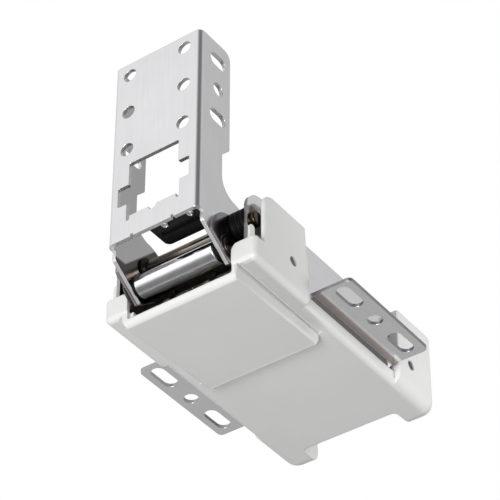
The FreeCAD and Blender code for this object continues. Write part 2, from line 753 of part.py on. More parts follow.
def bottom_cover():
    """Moulded cover with screw bosses and locating ribs."""
    body = cover_shell()
    adds, cuts = [], []
    for x, side in screw_axes:
        adds.append(rod(screw_boss, x, screw_z, side * wall_outer, side * (cover_half - boss_inset)))
        cuts.append(rod(screw_recess, x, screw_z, side * (cover_half - screw_recess_depth),
                        side * (cover_half + 1)))
        cuts.append(rod(screw_diameter + 2 * screw_play, x, screw_z,
                        side * (wall_outer - 1), side * cover_half))
    for side in (-1, 1):
        y0, y1 = sorted((side * (wall_outer + side_play), side * (wall_outer + side_play + rib_thickness)))
        adds.append(slab([(cover_front + 1, inner_floor - 1), (cover_front + 1, block_top - 1),
                          (rib_front, block_top - 1), (rib_front, rib_top, rib_round),
                          (rib_rear, rib_top, rib_round), (rib_rear, inner_floor - 1)],
                         side_view, y0, y1))
    return body.fuse(adds).cut(cuts)


def cover_screws():
    """Screws through the cover's bosses into the side walls."""
    solids = []
    seat = cover_half - screw_recess_depth
    for x, side in screw_axes:
        head = rod(screw_head, x, screw_z, side * seat, side * (seat + screw_head_height))
        tip = seat + screw_head_height - screw_length
        shank = rod(screw_diameter, x, screw_z, side * tip, side * seat)
        solids.append(head.fuse(shank))
    return Part.makeCompound(solids)


def parts():
    left, right = 1, -1
    back, front = spring_axes()[1], spring_axes()[0]
    shaft_groove = wall_outer + side_play
    return {
        "lid_bracket": lid_bracket(),
        "crank_doubler_left": crank_doubler(left),
        "crank_doubler_right": crank_doubler(right),
        "pivot_shaft": pivot_shaft(),
        "pivot_ring": retaining_ring(0, 0, shaft_groove, 1),
        "pivot_spacer_left": pivot_spacer(left),
        "pivot_spacer_right": pivot_spacer(right),
        "arm_bush_left": arm_bush(left),
        "arm_bush_right": arm_bush(right),
        "crank_pin": crank_pin(),
        "crank_washers": crank_washers(),
        "crank_rings": crank_rings(),
        "roller": roller(),
        "roller_washers": roller_washers(),
        "foot_block": foot_block(),
        "block_rivets": block_rivets(),
        "body_frame": body_frame(),
        "end_plate": end_plate_body(),
        "rod_collar_left": rod_collar(back),
        "rod_collar_right": rod_collar(front),
        "carriage": carriage(),
        "guide_rod_left": guide_rod(back),
        "guide_rod_right": guide_rod(front),
        "spring_left": spring(back),
        "spring_right": spring(front),
        "bottom_cover": bottom_cover(),
        "cover_screws": cover_screws(),
    }


def main():
    os.makedirs("parts", exist_ok=True)
    for name, shape in parts().items():
        shape.translate(Vector(-wing_middle, 0, -wing_top))
        shape.exportStep("parts/" + name + ".step")


if __name__ == "__main__":
    main()
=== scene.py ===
"""Looks of a lift-assist hinge: sheet steel, a bright roller and greased springs in a moulded cover.

Every CAD piece keeps its shape and gets a finish of its own, and the small ones get eased edges.
The studio is white, with a lamp in front of the cover, and darker towards the body's far end.
"""

import bpy
from bpy.props import FloatProperty, FloatVectorProperty, PointerProperty
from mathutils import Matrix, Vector


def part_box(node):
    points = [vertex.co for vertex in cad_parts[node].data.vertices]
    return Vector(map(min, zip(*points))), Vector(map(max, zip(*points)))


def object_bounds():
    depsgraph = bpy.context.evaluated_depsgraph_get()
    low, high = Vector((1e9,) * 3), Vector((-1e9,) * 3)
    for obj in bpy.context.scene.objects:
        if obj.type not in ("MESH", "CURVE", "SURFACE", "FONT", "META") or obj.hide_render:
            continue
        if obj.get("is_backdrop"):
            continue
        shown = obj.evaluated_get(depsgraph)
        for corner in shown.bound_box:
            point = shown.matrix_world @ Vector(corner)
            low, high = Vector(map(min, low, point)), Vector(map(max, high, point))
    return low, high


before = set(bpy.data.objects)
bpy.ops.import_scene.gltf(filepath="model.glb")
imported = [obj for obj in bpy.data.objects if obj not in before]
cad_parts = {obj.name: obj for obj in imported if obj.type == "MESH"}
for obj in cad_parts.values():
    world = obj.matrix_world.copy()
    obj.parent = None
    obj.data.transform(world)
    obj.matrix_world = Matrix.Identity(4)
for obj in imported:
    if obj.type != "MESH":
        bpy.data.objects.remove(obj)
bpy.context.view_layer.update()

bl_info = {
    "name": "Lift-assist hinge",
    "version": (1, 0, 0),
    "blender": (4, 5, 0),
    "location": "View3D > Sidebar > Hinge",
    "description": "Finishes the pieces of a lift-assist hinge and sets up its studio",
    "category": "Object",
}

CAMERA_EYE = (-0.9001, -0.6281, -0.8152)
CAMERA_BACK = (-0.6281, -0.4539, -0.6319)
CAMERA_LENS = 170.3

# Soft cards round the part that its steel mirrors: direction, cosines of full and no effect, strength
CARDS = (((-0.5, -0.75, 0.35), 0.94, 0.60, 0.2),
         ((-0.5, 0.38, -0.78), 0.985, 0.70, 0.28),
         ((0.6, -0.65, -0.47), 0.84, 0.56, 0.32),
         ((0.75, 0.58, 0.45), 0.96, 0.78, 1.6),
         ((-0.83, 0.454, 0.05), 0.955, 0.80, 1.25))

# The raised pad under the cover, and the floor round it
PAD_SIDE = 0.0372            # half its width
PAD_END = -0.0182            # rear edge
PAD_FLOOR = -0.0138          # height of the floor beside it
RIM_SIDE = 0.0485            # middle of the rounding between floor and cheek

DOUBLER_PIECES = ("crank_doubler_left", "crank_doubler_right")
SPRING_PIECES = ("spring_left", "spring_right")
BLOCK_PIECES = ("foot_block", "rod_collar_left", "rod_collar_right")
BLACK_PIECES = ("pivot_spacer_left", "pivot_spacer_right", "roller_washers",
                "arm_bush_left", "arm_bush_right")
PIN_PIECES = ("pivot_shaft", "crank_pin")
RING_PIECES = ("pivot_ring", "crank_rings", "crank_washers")
ROD_PIECES = ("block_rivets", "guide_rod_left", "guide_rod_right")


class HingeSizes(bpy.types.PropertyGroup):
    sheet_edge: FloatProperty(name="Sheet edge", description="Rounding of the sheet metal's cut edges",
                              default=0.0003, subtype="DISTANCE", unit="LENGTH", precision=5)
    moulded_edge: FloatProperty(name="Moulded edge", description="Rounding of the moulded plastic's edges",
                                default=0.0008, subtype="DISTANCE", unit="LENGTH", precision=5)
    turned_edge: FloatProperty(name="Turned edge", description="Rounding of pins, rings and rods",
                               default=0.00015, subtype="DISTANCE", unit="LENGTH", precision=5)
    bracket_sheet: FloatProperty(name="Bracket sheet", description="Thickness of the bracket's sheet",
                                 default=0.0024, subtype="DISTANCE", unit="LENGTH", precision=5)
    bracket_bend: FloatProperty(name="Bracket bend", description="Outer radius of the bracket's folds",
                                default=0.0036, subtype="DISTANCE", unit="LENGTH", precision=5)
    frame_sheet: FloatProperty(name="Frame sheet", description="Thickness of the body frame's sheet",
                               default=0.0023, subtype="DISTANCE", unit="LENGTH", precision=5)
    # The next three place painted shade: a dark reflection round the pivot on the frame's ears, and the
    # shade inside the bracket's arms
    painted_reflection_radius: FloatProperty(name="Oil film", description="Reach of the oil film round the pivot",
                               default=0.0085, subtype="DISTANCE", unit="LENGTH", precision=5)
    painted_shade_slope: FloatProperty(name="Film border",
                              description="Where the thick oil inside the arms begins",
                              default=0.0105, subtype="DISTANCE", unit="LENGTH", precision=5)
    painted_shade_foot: FloatProperty(name="Film height",
                             description="Height of the thick oil's border from the pivot",
                             default=-0.0085, subtype="DISTANCE", unit="LENGTH", precision=5)


class HingeColours(bpy.types.PropertyGroup):
    sheet: FloatVectorProperty(name="Sheet steel", description="Colour of the folded sheet",
                               default=(0.78, 0.775, 0.79), subtype="COLOR", min=0, max=1)
    doubler: FloatVectorProperty(name="Doublers", description="Colour of the plates on the arms",
                                 default=(0.22, 0.205, 0.215), subtype="COLOR", min=0, max=1)
    cut: FloatVectorProperty(name="Cut edge", description="Colour of the sheet's sheared edges",
                             default=(0.72, 0.70, 0.705), subtype="COLOR", min=0, max=1)
    # colour of the painted dark reflections on the frame, and, darkened, of the painted shade inside the
    # bracket's arms
    film: FloatVectorProperty(name="Oil film", description="Colour of the oiled steel round the pivot",
                              default=(0.34, 0.30, 0.29), subtype="COLOR", min=0, max=1)
    turned: FloatVectorProperty(name="Turned steel", description="Colour of rivets, rods and screws",
                                default=(0.74, 0.72, 0.69), subtype="COLOR", min=0, max=1)
    pin: FloatVectorProperty(name="Oiled pins", description="Colour of the two pins under their oil",
                             default=(0.05, 0.038, 0.026), subtype="COLOR", min=0, max=1)
    shaft: FloatVectorProperty(name="Bare shaft", description="Colour of the pins between the arms",
                               default=(0.50, 0.44, 0.39), subtype="COLOR", min=0, max=1)
    ring: FloatVectorProperty(name="Rings", description="Colour of the retaining rings and washers",
                              default=(0.15, 0.13, 0.12), subtype="COLOR", min=0, max=1)
    roller: FloatVectorProperty(name="Roller", description="Colour of the ground roller",
                                default=(0.92, 0.925, 0.95), subtype="COLOR", min=0, max=1)
    spring: FloatVectorProperty(name="Spring wire", description="Colour of the wire under the grease",
                                default=(0.03, 0.03, 0.032), subtype="COLOR", min=0, max=1)
    grease: FloatVectorProperty(name="Grease", description="Colour of the grease on the springs",
                                default=(0.62, 0.45, 0.20), subtype="COLOR", min=0, max=1)
    black: FloatVectorProperty(name="Black plastic", description="Colour of block, spacers and collars",
                               default=(0.005, 0.005, 0.0055), subtype="COLOR", min=0, max=1)
    cover: FloatVectorProperty(name="Cover", description="Colour of the moulded cover",
                               default=(0.80, 0.80, 0.785), subtype="COLOR", min=0, max=1)


class HingeStudio(bpy.types.PropertyGroup):
    room_light: FloatProperty(name="Room light", description="Even light on the pieces",
                              default=0.3, min=0)
    far_light: FloatProperty(name="Far side",
                             description="Share of the light from behind the body's far end",
                             default=0.6, min=0, max=1)
    low_light: FloatProperty(name="Low side", description="Share of the reflections from below",
                             default=0.72, min=0, max=1)
    key_power: FloatProperty(name="Key lamp", description="Power of the lamp in front of the cover",
                             default=22.0, min=0, subtype="POWER", unit="POWER")
    fill_power: FloatProperty(name="Fill lamp", description="Power of the lamp beside the far end",
                              default=1.2, min=0, subtype="POWER", unit="POWER")
    floor_drop: FloatProperty(name="Floor", description="How far the floor lies below the body",
                              default=1.6, subtype="DISTANCE", unit="LENGTH")


def add(tree, kind, **values):
    """Adds a shader node; values set its inputs, with _ for a blank in their names."""
    node = tree.nodes.new("ShaderNode" + kind)
    for name, value in values.items():
        node.inputs[name.replace("_", " ")].default_value = value
    return node


def new_finish(name, roughness, metallic=0.0):
    """Material whose shader is ready for its colour, roughness and bump."""
    material = bpy.data.materials.new(name)
    material.use_nodes = True
    shader = material.node_tree.nodes["Principled BSDF"]
    shader.inputs["Metallic"].default_value = metallic
    shader.inputs["Roughness"].default_value = roughness
    return material, material.node_tree, shader


def stretched_noise(tree, stretch, detail=3.0):
    """Noise over the piece, with its own scale along each axis."""
    place = add(tree, "TexCoord")
    mapping = add(tree, "Mapping", Scale=stretch)
    noise = add(tree, "TexNoise", Scale=1.0, Detail=detail, Roughness=0.6)
    tree.links.new(place.outputs["Object"], mapping.inputs["Vector"])
    tree.links.new(mapping.outputs["Vector"], noise.inputs["Vector"])
    return noise.outputs["Fac"]


def spread(tree, value, low, high):
    """Turns a noise value into a range."""
    remap = add(tree, "MapRange", From_Min=0.3, From_Max=0.7, To_Min=low, To_Max=high)
    tree.links.new(value, remap.inputs["Value"])
    return remap.outputs["Result"]


def shade(tree, value, dark, light):
    """Mixes two colours by a value."""
    mix = add(tree, "MixRGB", Color1=(*dark, 1), Color2=(*light, 1))
    tree.links.new(value, mix.inputs["Fac"])
    return mix.outputs["Color"]


def relief(tree, shader, value, height, strength, rounding):
    """Fine relief over the surface, with its edges softened."""
    bump = add(tree, "Bump", Strength=strength, Distance=height)
    soft = add(tree, "Bevel", Radius=rounding)
    soft.samples = 8
    tree.links.new(soft.outputs["Normal"], bump.inputs["Normal"])
    tree.links.new(value, bump.inputs["Height"])
    tree.links.new(bump.outputs["Normal"], shader.inputs["Normal"])
    return soft


def scaled(colour, factor):
    return tuple(min(1.0, c * factor) for c in colour)


def combine(tree, operation, *values):
    """Math on two or three values, each a socket or a number."""
    math = add(tree, "Math")
    math.operation = operation
    for socket, value in zip(math.inputs, values):
        if isinstance(value, (int, float)):
            socket.default_value = value
        else:
            tree.links.new(value, socket)
    return math.outputs[0]


def within(tree, value, middle, half):
    """1 where a value lies within half of the middle, else 0."""
    compare = add(tree, "Math")
    compare.operation = "COMPARE"
    compare.inputs[1].default_value = middle
    compare.inputs[2].default_value = half
    tree.links.new(value, compare.inputs[0])
    return compare.outputs[0]


def piece_axes(tree):
    """X, distance from the middle plane, and Z of a point on a piece."""
    place = add(tree, "TexCoord")
    axes = add(tree, "SeparateXYZ")
    tree.links.new(place.outputs["Object"], axes.inputs["Vector"])
    return axes.outputs["X"], combine(tree, "ABSOLUTE", axes.outputs["Y"], 0.0), axes.outputs["Z"]


def bracket_cuts(tree, sizes):
    """Where the bracket's sheet shows its cut thickness."""
    x, y, z = piece_axes(tree)
    low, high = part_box("lid_bracket")
    half = sizes.bracket_sheet / 2 - sizes.sheet_edge / 4
    web = combine(tree, "MULTIPLY", within(tree, x, low.x + sizes.bracket_sheet / 2, half),
                  combine(tree, "LESS_THAN", y, high.y - sizes.bracket_bend))
    flange = combine(tree, "MULTIPLY", within(tree, y, high.y - sizes.bracket_sheet / 2, half),
                     combine(tree, "GREATER_THAN", x, low.x + sizes.bracket_bend))
    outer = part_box("crank_doubler_left")[1].y
    plate = within(tree, y, (outer + high.y) / 2, (outer - high.y) / 2 - sizes.sheet_edge)
    return combine(tree, "MAXIMUM", combine(tree, "MAXIMUM", web, flange), plate)


def frame_cuts(tree, sizes):
    """Where the body frame's sheet shows its cut thickness."""
    x, y, z = piece_axes(tree)
    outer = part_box("end_plate")[1].y
    sheet = sizes.frame_sheet
    half = sheet / 2 - sizes.sheet_edge / 4
    wing = combine(tree, "MULTIPLY", within(tree, z, -sheet / 2, half),
                   combine(tree, "GREATER_THAN", y, outer + sizes.frame_sheet))
    side = combine(tree, "MULTIPLY", within(tree, y, outer - sheet / 2, half),
                   combine(tree, "LESS_THAN", z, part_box("end_plate")[1].z - sheet))
    return combine(tree, "MAXIMUM", wing, side)


def pivot_axes(tree):
    """X and Z of a point from the pivot, and its distance from the middle plane."""
    x, y, z = piece_axes(tree)
    low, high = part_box("pivot_shaft")
    centre = (low + high) / 2
    return combine(tree, "SUBTRACT", x, centre.x), y, combine(tree, "SUBTRACT", z, centre.z)


def slide(tree, value, start, end, first, last):
    """Moves evenly from first to last as a value goes from start to end."""
    ramp = add(tree, "MapRange", From_Min=start, From_Max=end, To_Min=first, To_Max=last)
    tree.links.new(value, ramp.inputs["Value"])
    return ramp.outputs["Result"]


def arm_painted_shade(tree, sizes):
    """Painted shade inside the bracket's arms: a trace everywhere, thick below the shaft with its dark
    reflection.
    """
    across, y, up = pivot_axes(tree)
    border = combine(tree, "MAXIMUM", combine(tree, "ADD", across, sizes.painted_shade_slope), sizes.painted_shade_foot)
    thick = slide(tree, combine(tree, "SUBTRACT", up, border), -0.0006, 0.0008, 1.0, 0.4)
    low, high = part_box("lid_bracket")
    inner = within(tree, y, high.y - sizes.bracket_sheet, sizes.sheet_edge / 2)
    behind = combine(tree, "GREATER_THAN", piece_axes(tree)[0], low.x + sizes.bracket_bend)
    return combine(tree, "MULTIPLY", thick, combine(tree, "MULTIPLY", inner, behind))


def frame_painted_reflections(tree, sizes):
    """Painted dark reflections: round the pivot on the outside of the frame's ears, and in the wings'
    folds.
    """
    across, y, up = pivot_axes(tree)
    # painted dark reflection of the cheek on the ears' outer faces, a disc round the pivot
    distance = combine(tree, "SQRT", combine(tree, "ADD", combine(tree, "MULTIPLY", across, across),
                                             combine(tree, "MULTIPLY", up, up)), 0.0)
    ring = slide(tree, distance, sizes.painted_reflection_radius, sizes.painted_reflection_radius + 0.0008, 1.0, 0.0)
    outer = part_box("end_plate")[1].y
    outside = combine(tree, "GREATER_THAN", y, outer - sizes.sheet_edge / 2)
    ring = combine(tree, "MULTIPLY", ring, outside)
    # painted dark reflection in the folds under the wings
    z = piece_axes(tree)[2]
    below = combine(tree, "LESS_THAN", z, -sizes.frame_sheet + 0.0001)
    painted_fold_reflection = combine(tree, "MINIMUM", slide(tree, y, outer + 0.0030, outer + 0.0042, 0.0, 1.0),
                   slide(tree, y, outer + 0.0078, outer + 0.0098, 1.0, 0.0))
    return combine(tree, "MAXIMUM", ring, combine(tree, "MULTIPLY", painted_fold_reflection, below))


def rolled_sheet(name, colour, cut_colour, grain, cuts, sizes, blur=0.18, film=None):
    """Bright cold-rolled sheet: fine rolling grain, soft clouds, and dull cut edges.

    blur is its roughness, and film a mask and a colour for painted shade and dark reflections on it.
    """
    material, tree, shader = new_finish(name, 0.3, 1.0)
    lines = stretched_noise(tree, grain)
    clouds = stretched_noise(tree, (28, 28, 28), 4.0)
    tone = combine(tree, "ADD", spread(tree, clouds, 0, 0.55), spread(tree, lines, 0, 0.45))
    tint = shade(tree, tone, scaled(colour, 0.92), scaled(colour, 1.02))
    torn = stretched_noise(tree, (450, 450, 450))
    edge = shade(tree, spread(tree, torn, 0, 1), scaled(cut_colour, 0.93), scaled(cut_colour, 1.04))
    cut = cuts(tree, sizes)
    paint = add(tree, "MixRGB")
    tree.links.new(cut, paint.inputs["Fac"])
    tree.links.new(tint, paint.inputs["Color1"])
    tree.links.new(edge, paint.inputs["Color2"])
    if film:
        painted_shade_and_reflection = add(tree, "MixRGB", Color2=(*film[1], 1))
        tree.links.new(film[0](tree, sizes), painted_shade_and_reflection.inputs["Fac"])
        tree.links.new(paint.outputs["Color"], painted_shade_and_reflection.inputs["Color1"])
        paint = painted_shade_and_reflection
    tree.links.new(paint.outputs["Color"], shader.inputs["Base Color"])
    haze = combine(tree, "ADD", spread(tree, lines, 0.45 * blur, 0.55 * blur),
                   spread(tree, clouds, 0.45 * blur, 0.65 * blur))
    haze = combine(tree, "ADD", haze, combine(tree, "MULTIPLY", cut, 0.28))
    tree.links.new(haze, shader.inputs["Roughness"])
    relief(tree, shader, lines, 0.00001, 0.12, 1.5 * sizes.sheet_edge)
    return material


def turned_steel(name, colour, roughness, middle=None):
    """Turned steel with fine lines round Y; middle is a reach along it and that part's colour."""
    material, tree, shader = new_finish(name, roughness, 1.0)
    lines = stretched_noise(tree, (60, 6000, 60), 2.0)
    stains = stretched_noise(tree, (180, 180, 180), 4.0)
    tint = shade(tree, spread(tree, stains, 0, 1), scaled(colour, 0.92), scaled(colour, 1.03))
    if middle:
        plain = add(tree, "MixRGB", Color2=(*middle[1], 1))
        tree.links.new(combine(tree, "LESS_THAN", piece_axes(tree)[1], middle[0]), plain.inputs["Fac"])
        tree.links.new(tint, plain.inputs["Color1"])
        tint = plain.outputs["Color"]
    tree.links.new(tint, shader.inputs["Base Color"])
    tree.links.new(spread(tree, lines, roughness - 0.04, roughness + 0.05), shader.inputs["Roughness"])
    relief(tree, shader, lines, 0.00001, 0.08, 0.0003)
    return material


def greased_wire(name, wire, grease):
    """Dark spring wire under a wet, streaky film of brown grease."""
    material, tree, shader = new_finish(name, 0.25)
    film = stretched_noise(tree, (260, 260, 260), 5.0)
    streaks = stretched_noise(tree, (900, 220, 220), 3.0)
    amount = add(tree, "Math")
    amount.operation = "MULTIPLY"
    tree.links.new(spread(tree, film, 0, 1), amount.inputs[0])
    tree.links.new(spread(tree, streaks, 0.2, 1), amount.inputs[1])
    tree.links.new(shade(tree, amount.outputs[0], wire, grease), shader.inputs["Base Color"])
    tree.links.new(spread(tree, streaks, 0.16, 0.42), shader.inputs["Roughness"])
    shader.inputs["Coat Weight"].default_value = 0.4
    shader.inputs["Coat Roughness"].default_value = 0.15
    relief(tree, shader, film, 0.00025, 0.8, 0.0002)
    return material


def corners(tree, reach, inside, low, high):
    """0 on open faces, rising towards inner corners, or towards outer edges where inside is set."""
    shelter = add(tree, "AmbientOcclusion", Distance=reach)
    shelter.samples = 8
    shelter.inside = inside
    shelter.only_local = True
    remap = add(tree, "MapRange", From_Min=high, From_Max=low, To_Min=0.0, To_Max=1.0)
    tree.links.new(shelter.outputs["AO"], remap.inputs["Value"])
    return remap.outputs["Result"]


def painted_cover_light(tree, painted_edge_light):
    """Cover's painted light and shade, a colour factor with 1 for plain, and where its pad's rear edge
    stays crisp.
    """
    x, y, z = piece_axes(tree)
    # painted highlights along outer edges, and painted shade in inner corners beyond the pad's sides
    edges = combine(tree, "MULTIPLY", corners(tree, 0.0012, True, 0.25, 0.5), painted_edge_light)
    beside = combine(tree, "MULTIPLY", combine(tree, "GREATER_THAN", y, PAD_SIDE), 0.4)
    painted_crease_shade = combine(tree, "MULTIPLY", corners(tree, 0.005, False, 0.1, 0.5), beside)
    level = combine(tree, "SUBTRACT", edges, painted_crease_shade)

    # painted light along the pad's rear edge and on the floor behind it, a highlight that also lifts the
    # shadow the pad casts there
    inner = combine(tree, "LESS_THAN", y, PAD_SIDE)
    behind = combine(tree, "MULTIPLY", combine(tree, "GREATER_THAN", x, PAD_END - 0.0008), inner)
    low = combine(tree, "MULTIPLY", behind, combine(tree, "LESS_THAN", z, PAD_FLOOR + 0.0005))
    painted_rear_light = combine(tree, "MULTIPLY", slide(tree, x, PAD_END + 0.0045, PAD_END + 0.0075, 0.24, 0.0), low)
    level = combine(tree, "ADD", level, painted_rear_light)

    # painted shade in a band beside the pad, on the -Y side, fading out towards the pad's rear end
    painted_side_shade = combine(tree, "MINIMUM", slide(tree, y, PAD_SIDE, PAD_SIDE + 0.0012, 0.0, 0.19),
                   slide(tree, y, RIM_SIDE - 0.001, RIM_SIDE + 0.001, 0.19, 0.0))
    place = add(tree, "TexCoord")
    side = add(tree, "SeparateXYZ")
    tree.links.new(place.outputs["Object"], side.inputs["Vector"])
    front = combine(tree, "MULTIPLY", slide(tree, x, PAD_END - 0.014, PAD_END - 0.001, 1.0, 0.0),
                    combine(tree, "LESS_THAN", z, PAD_FLOOR + 0.0008))
    front = combine(tree, "MULTIPLY", front, combine(tree, "LESS_THAN", side.outputs["Y"], 0.0))
    level = combine(tree, "SUBTRACT", level, combine(tree, "MULTIPLY", painted_side_shade, front))
    crisp = combine(tree, "MULTIPLY", within(tree, x, PAD_END, 0.0015), inner)
    return combine(tree, "ADD", level, 1.0), crisp


def moulded_plastic(name, colour, roughness, gloss, texture_scale, texture_height, rounding,
                    painted_edge_light=0.0):
    """Moulded plastic with fine eroded texture; an edge light adds painted highlights on edges and shade
    in corners.
    """
    material, tree, shader = new_finish(name, roughness)
    shader.inputs["Specular IOR Level"].default_value = gloss
    grain = stretched_noise(tree, (texture_scale,) * 3, 3.0)
    clouds = stretched_noise(tree, (22, 22, 22), 3.0)
    tint = shade(tree, spread(tree, clouds, 0, 1), scaled(colour, 0.975), scaled(colour, 1.01))
    if painted_edge_light:
        # tone is the cover's painted light and shade, which scales its colour
        tone, crisp = painted_cover_light(tree, painted_edge_light)
        paint = add(tree, "VectorMath")
        paint.operation = "SCALE"
        tree.links.new(tint, paint.inputs[0])
        tree.links.new(tone, paint.inputs["Scale"])
        tint = paint.outputs["Vector"]
    tree.links.new(tint, shader.inputs["Base Color"])
    tree.links.new(spread(tree, grain, roughness - 0.05, roughness + 0.07), shader.inputs["Roughness"])
    soft = relief(tree, shader, grain, texture_height, 0.5, rounding)
    if painted_edge_light:
        reach = combine(tree, "MULTIPLY_ADD", crisp, 0.0001 - rounding, rounding)
        tree.links.new(reach, soft.inputs["Radius"])
    return material


def ease_edges(piece, width, angle=0.6):
    """Joins the facets' loose edges and rounds the sharp ones, without touching the mesh."""
    weld = piece.modifiers.new("join", "WELD")
    weld.merge_threshold = 0.000002
    thin = piece.modifiers.new("flats", "DECIMATE")
    thin.decimate_type = "DISSOLVE"
    thin.angle_limit = 0.002
    thin.delimit = {"NORMAL"}
    bevel = piece.modifiers.new("eased edges", "BEVEL")
    bevel.width = width
    bevel.segments = 2
    bevel.limit_method = "ANGLE"
    bevel.angle_limit = angle
    bevel.use_clamp_overlap = True
    bevel.harden_normals = True


def finish_pieces(names, material, edge=0.0):
    """Gives CAD pieces their finish, and eased edges where a width is given."""
    for name in names:
        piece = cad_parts.get(name)
        if piece is None:
            raise RuntimeError("there is no piece named " + name)
        piece.data.materials.clear()
        piece.data.materials.append(material)
        if edge:
            ease_edges(piece, edge)


class HINGE_OT_lid_bracket(bpy.types.Operator):
    """Finish the lid bracket and the plates on its arms"""
    bl_idname = "hinge.lid_bracket"
    bl_label = "Lid bracket"

    def execute(self, context):
        sizes, colours = context.scene.hinge_sizes, context.scene.hinge_colours
        # the bracket's sheet carries painted shade inside its arms
        steel = rolled_sheet("bracket_sheet", colours.sheet, colours.cut, (900, 900, 26),
                             bracket_cuts, sizes, film=(arm_painted_shade, scaled(colours.film, 0.22)))
        finish_pieces(("lid_bracket",), steel)
        plate = rolled_sheet("doubler_sheet", colours.doubler, scaled(colours.doubler, 1.6),
                             (900, 900, 26), bracket_cuts, sizes)
        finish_pieces(DOUBLER_PIECES, plate)
        return {"FINISHED"}


class HINGE_OT_pins_and_roller(bpy.types.Operator):
    """Finish the shaft, the crank pin, their rings and washers, the rivets and guide rods, and the roller
    """
    bl_idname = "hinge.pins_and_roller"
    bl_label = "Pins and roller"

    def execute(self, context):
        sizes, colours = context.scene.hinge_sizes, context.scene.hinge_colours
        finish_pieces(ROD_PIECES, turned_steel("turned_steel", colours.turned, 0.16), sizes.turned_edge)
        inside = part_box("lid_bracket")[1].y
        pins = turned_steel("oiled_steel", colours.pin, 0.2, (inside, colours.shaft))
        finish_pieces(PIN_PIECES, pins, sizes.turned_edge)
        finish_pieces(RING_PIECES, turned_steel("ring_steel", colours.ring, 0.28))
        finish_pieces(("roller",), turned_steel("ground_roller", colours.roller, 0.16))
        return {"FINISHED"}


class HINGE_OT_black_mouldings(bpy.types.Operator):
    """Finish the foot block, the spacers, the thrust washers and the rod collars"""
    bl_idname = "hinge.black_mouldings"
    bl_label = "Black mouldings"

    def execute(self, context):
        sizes, colours = context.scene.hinge_sizes, context.scene.hinge_colours
        plastic = moulded_plastic("black_plastic", colours.black, 0.4, 0.08, 900, 0.00004,
                                  sizes.moulded_edge)
        finish_pieces(BLACK_PIECES, plastic, sizes.turned_edge)
        glossy = moulded_plastic("block_plastic", colours.black, 0.2, 0.16, 500, 0.00002,
                                 sizes.moulded_edge)
        finish_pieces(BLOCK_PIECES, glossy, sizes.sheet_edge)
        return {"FINISHED"}


class HINGE_OT_body_frame(bpy.types.Operator):
    """Finish the winged body frame, its end plate and the carriage"""
    bl_idname = "hinge.body_frame"
    bl_label = "Body frame"

    def execute(self, context):
        sizes, colours = context.scene.hinge_sizes, context.scene.hinge_colours
        # the frame's sheet carries painted dark reflections on its ears and in its wings' folds
        steel = rolled_sheet("frame_sheet", scaled(colours.sheet, 1.16), scaled(colours.cut, 0.55),
                             (26, 900, 900), frame_cuts, sizes, 0.12, (frame_painted_reflections, colours.film))
        finish_pieces(("body_frame",), steel)
        dark = rolled_sheet("inner_plate", scaled(colours.cut, 0.08), scaled(colours.cut, 0.055),
                            (26, 900, 900), frame_cuts, sizes)
        finish_pieces(("end_plate", "carriage"), dark, sizes.sheet_edge)
        return {"FINISHED"}


class HINGE_OT_springs(bpy.types.Operator):
    """Finish the two coil springs under their grease"""
    bl_idname = "hinge.springs"
    bl_label = "Springs"

    def execute(self, context):
        colours = context.scene.hinge_colours
        finish_pieces(SPRING_PIECES, greased_wire("greased_wire", colours.spring, colours.grease))
        return {"FINISHED"}


class HINGE_OT_cover(bpy.types.Operator):
    """Finish the moulded cover and its screws"""
    bl_idname = "hinge.cover"
    bl_label = "Cover"

    def execute(self, context):
        sizes, colours = context.scene.hinge_sizes, context.scene.hinge_colours
        # the cover's plastic gets painted highlights on its edges, painted shade in its corners and
        # painted light and shade round its pad
        plastic = moulded_plastic("cover_plastic", colours.cover, 0.34, 0.5, 1400, 0.00002,
                                  sizes.moulded_edge, painted_edge_light=0.3)
        finish_pieces(("bottom_cover",), plastic)
        screws = turned_steel("screw_steel", scaled(colours.turned, 0.3), 0.3)
        finish_pieces(("cover_screws",), screws, sizes.turned_edge)
        return {"FINISHED"}


def facing(tree, direction, centre, inner, outer, low):
    """low where a direction lies near the centre, going to 1 outside; inner and outer are cosines."""
    dot = add(tree, "VectorMath")
    dot.operation = "DOT_PRODUCT"
    dot.inputs[1].default_value = Vector(centre).normalized()
    tree.links.new(direction, dot.inputs[0])
    ramp = add(tree, "MapRange", From_Min=outer, From_Max=inner, To_Min=1.0, To_Max=low)
    ramp.interpolation_type = "SMOOTHSTEP"
    tree.links.new(dot.outputs["Value"], ramp.inputs["Value"])
    return ramp.outputs["Result"]


def fade(tree, value, start, end, low):
    """1 below the start, falling smoothly to low at the end."""
    ramp = add(tree, "MapRange", From_Min=start, From_Max=end, To_Min=1.0, To_Max=low)
    ramp.interpolation_type = "SMOOTHSTEP"
    tree.links.new(value, ramp.inputs["Value"])
    return ramp.outputs["Result"]


